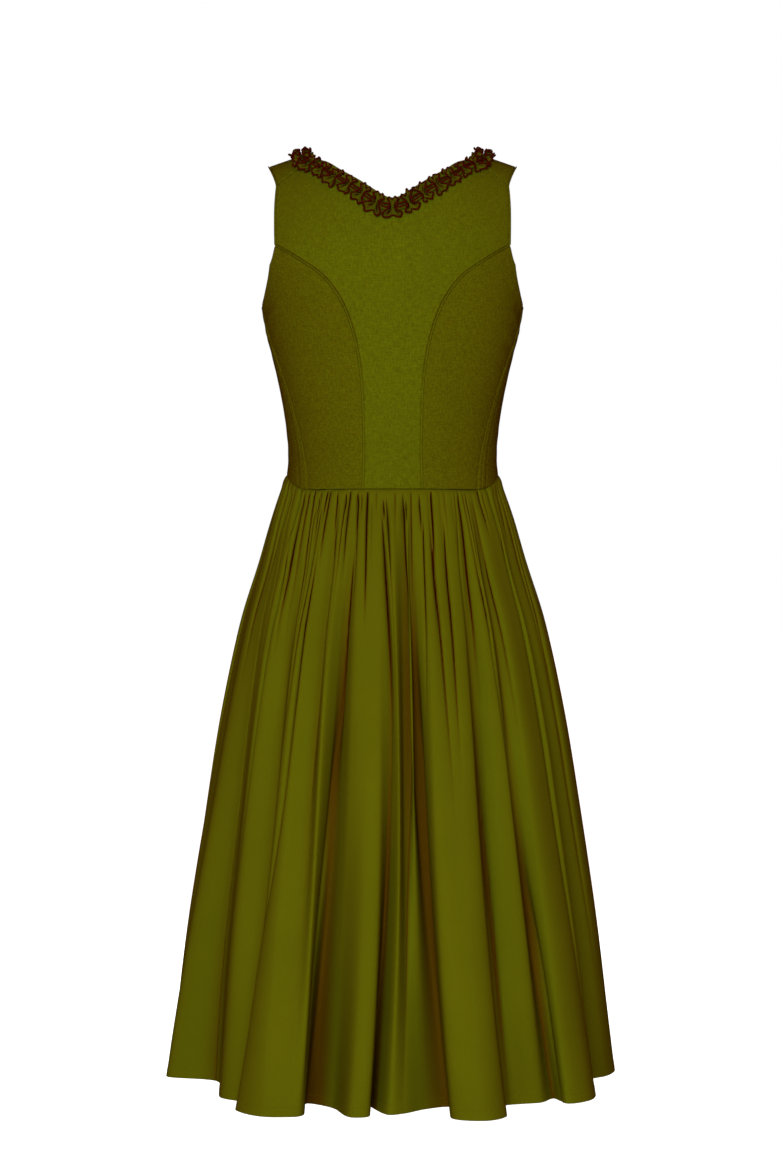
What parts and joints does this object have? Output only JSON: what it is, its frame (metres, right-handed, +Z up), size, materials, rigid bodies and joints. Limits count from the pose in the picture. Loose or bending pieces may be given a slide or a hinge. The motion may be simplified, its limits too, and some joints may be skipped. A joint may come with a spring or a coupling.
{
  "type": "dirndl dress",
  "caption": "Sleeveless dirndl, filled out as worn: princess-seamed bodice with V back, frog-mouth ruche round the open neck, and a full gathered skirt.",
  "frame": {"origin": "midway between the two shoulders, at the height where the straps rest on them", "axes": "+Z up, front of the dress towards -Y, back towards +Y, the wearer's left towards +X"},
  "size_m": [0.5397, 0.5418, 1.1133],
  "materials": {
    "bodice_cloth": "matte olive green, fine linen-like plain weave",
    "skirt_cloth": "smooth olive green cotton with a faint sheen",
    "ruche_cloth": "olive green cotton pleats with dark red-brown overlocked edges",
    "hook_steel": "plain steel wire"
  },
  "bodies": {
    "root": {"back_center": "bodice_cloth", "back_side_left": "bodice_cloth", "back_side_right": "bodice_cloth", "front_side_left": "bodice_cloth", "front_side_right": "bodice_cloth", "front_left": "bodice_cloth", "front_right": "bodice_cloth", "neck_ruche": "ruche_cloth", "skirt_back": "skirt_cloth", "skirt_front_left": "skirt_cloth", "skirt_front_right": "skirt_cloth", "hook_01": "hook_steel", "hook_02": "hook_steel", "hook_03": "hook_steel", "hook_04": "hook_steel", "hook_05": "hook_steel", "hook_06": "hook_steel", "hook_07": "hook_steel"}
  },
  "joints": []
}
